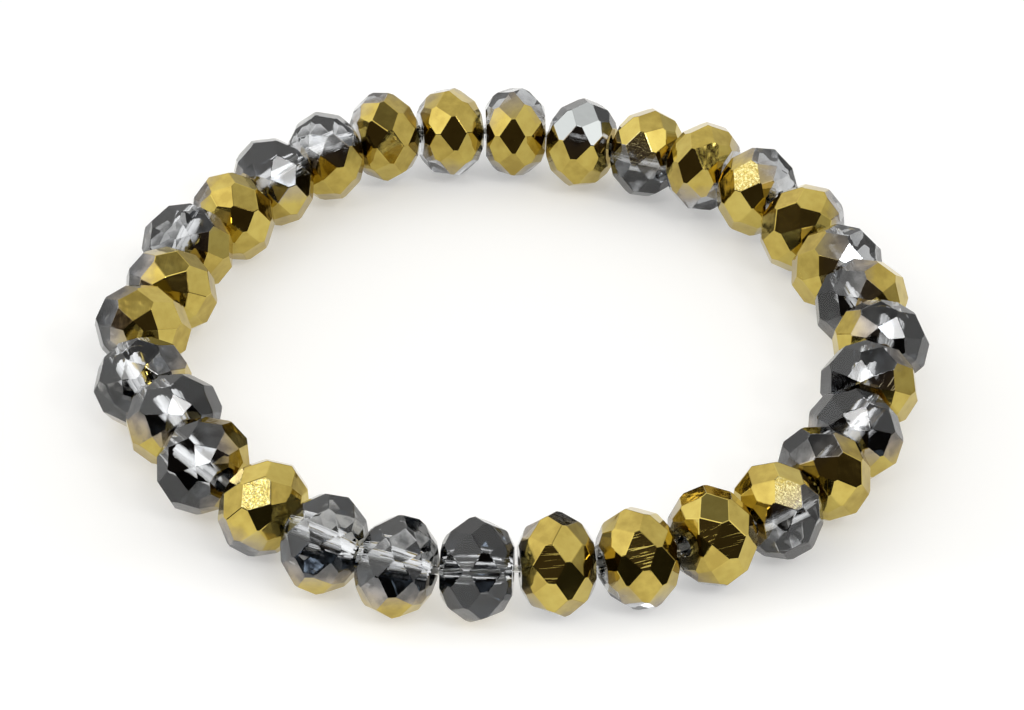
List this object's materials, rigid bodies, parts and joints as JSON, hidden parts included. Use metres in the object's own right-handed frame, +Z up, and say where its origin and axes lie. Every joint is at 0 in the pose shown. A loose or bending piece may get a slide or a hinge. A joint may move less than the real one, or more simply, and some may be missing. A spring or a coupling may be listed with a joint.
{
  "type": "beaded stretch bracelet",
  "caption": "Closed ring of faceted glass rondelle beads, half coated in mirror gold, strung on a clear elastic cord and lying flat.",
  "frame": {"origin": "on the surface that the bracelet lies on, under the middle of its bounding box", "axes": "+Z up, square to the surface that the ring lies on; +Y away from the camera of the picture, +X to its right"},
  "size_m": [0.0688, 0.0684, 0.0086],
  "materials": {
    "bead_glass": "polished facets, half coated in mirror gold",
    "cord_elastic": "clear elastic, smooth"
  },
  "bodies": {
    "root": {"bead_1": "bead_glass", "bead_2": "bead_glass", "bead_3": "bead_glass", "bead_4": "bead_glass", "bead_5": "bead_glass", "bead_6": "bead_glass", "bead_7": "bead_glass", "bead_8": "bead_glass", "bead_9": "bead_glass", "bead_10": "bead_glass", "bead_11": "bead_glass", "bead_12": "bead_glass", "bead_13": "bead_glass", "bead_14": "bead_glass", "bead_15": "bead_glass", "bead_16": "bead_glass", "bead_17": "bead_glass", "bead_18": "bead_glass", "bead_19": "bead_glass", "bead_20": "bead_glass", "bead_21": "bead_glass", "bead_22": "bead_glass", "bead_23": "bead_glass", "bead_24": "bead_glass", "bead_25": "bead_glass", "bead_26": "bead_glass", "bead_27": "bead_glass", "bead_28": "bead_glass", "bead_29": "bead_glass", "bead_30": "bead_glass", "bead_31": "bead_glass", "elastic_cord": "cord_elastic"}
  },
  "joints": []
}
